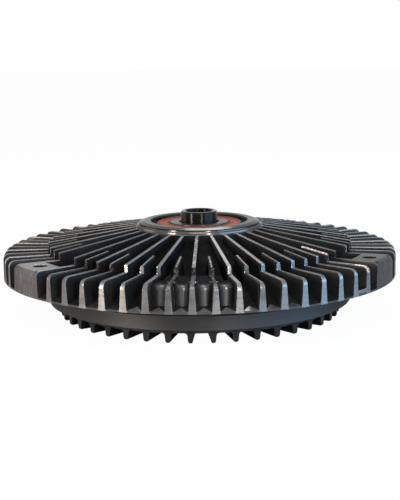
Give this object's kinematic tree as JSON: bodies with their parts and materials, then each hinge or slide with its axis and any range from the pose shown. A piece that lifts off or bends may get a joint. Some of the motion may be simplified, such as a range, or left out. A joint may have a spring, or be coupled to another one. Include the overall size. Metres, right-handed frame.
{
  "type": "viscous fan clutch",
  "caption": "Finned round cooling-fan clutch: a driven stub on a sealed ball bearing turns a fluid rotor in a finned housing with bolt lugs for a fan.",
  "frame": {"origin": "on the axis, in the fan face: the plane of the three bolt pads, at the foot of the step that centres the fan", "axes": "+Z along the axis towards the drive stub; one bolt lug lies on +Y; the clutch stands on the fins of its front cover"},
  "size_m": [0.194, 0.194, 0.0504],
  "materials": {
    "cast_housing": "dark cast aluminium, with turned fin tops and hub ring",
    "cast_cover": "dark cast aluminium",
    "black_rubber": "satin",
    "plate_steel": "cold-rolled sheet",
    "rivet_steel": "bright",
    "wiper_polymer": "matt",
    "shaft_steel": "turned and polished",
    "rotor_aluminium": "turned",
    "bearing_steel": "ground",
    "ball_steel": "polished",
    "cage_steel": "pressed sheet",
    "seal_rubber": "satin brick-red rubber",
    "valve_steel": "turned",
    "bimetal": "rolled strip with heat tint"
  },
  "bodies": {
    "housing": {"housing": "cast_housing", "front_cover": "cast_cover", "cover_seal": "black_rubber", "pump_plate": "plate_steel", "plate_rivets": "rivet_steel", "pump_wipers": "wiper_polymer", "bearing_outer_ring": "bearing_steel", "rear_bearing_seal": "seal_rubber", "front_bearing_seal": "seal_rubber", "bimetal_coil": "bimetal"},
    "rotor": {"input_shaft": "shaft_steel", "rotor_disc": "rotor_aluminium", "bearing_inner_ring": "bearing_steel"},
    "cage": {"bearing_balls": "ball_steel", "cage_rear_half": "cage_steel", "cage_front_half": "cage_steel", "cage_rivets": "rivet_steel"},
    "valve": {"valve_shaft": "valve_steel", "valve_arm": "plate_steel", "valve_shaft_seal": "black_rubber"}
  },
  "joints": [
    {"name": "shaft_spin", "type": "hinge", "parent": "housing", "child": "rotor", "pos_m": [0, 0, 0], "axis": [0, 0, 1], "continuous": true},
    {"name": "cage_spin", "type": "hinge", "parent": "housing", "child": "cage", "pos_m": [0, 0, 0], "axis": [0, 0, 1], "continuous": true},
    {"name": "valve_turn", "type": "hinge", "parent": "housing", "child": "valve", "pos_m": [0, 0, 0], "axis": [0, 0, 1], "range_deg": [0, 25], "deforming": ["bimetal_coil"]}
  ],
  "couplings": [
    {"joint": "cage_spin", "follows": "shaft_spin", "ratio": 0.3815}
  ]
}
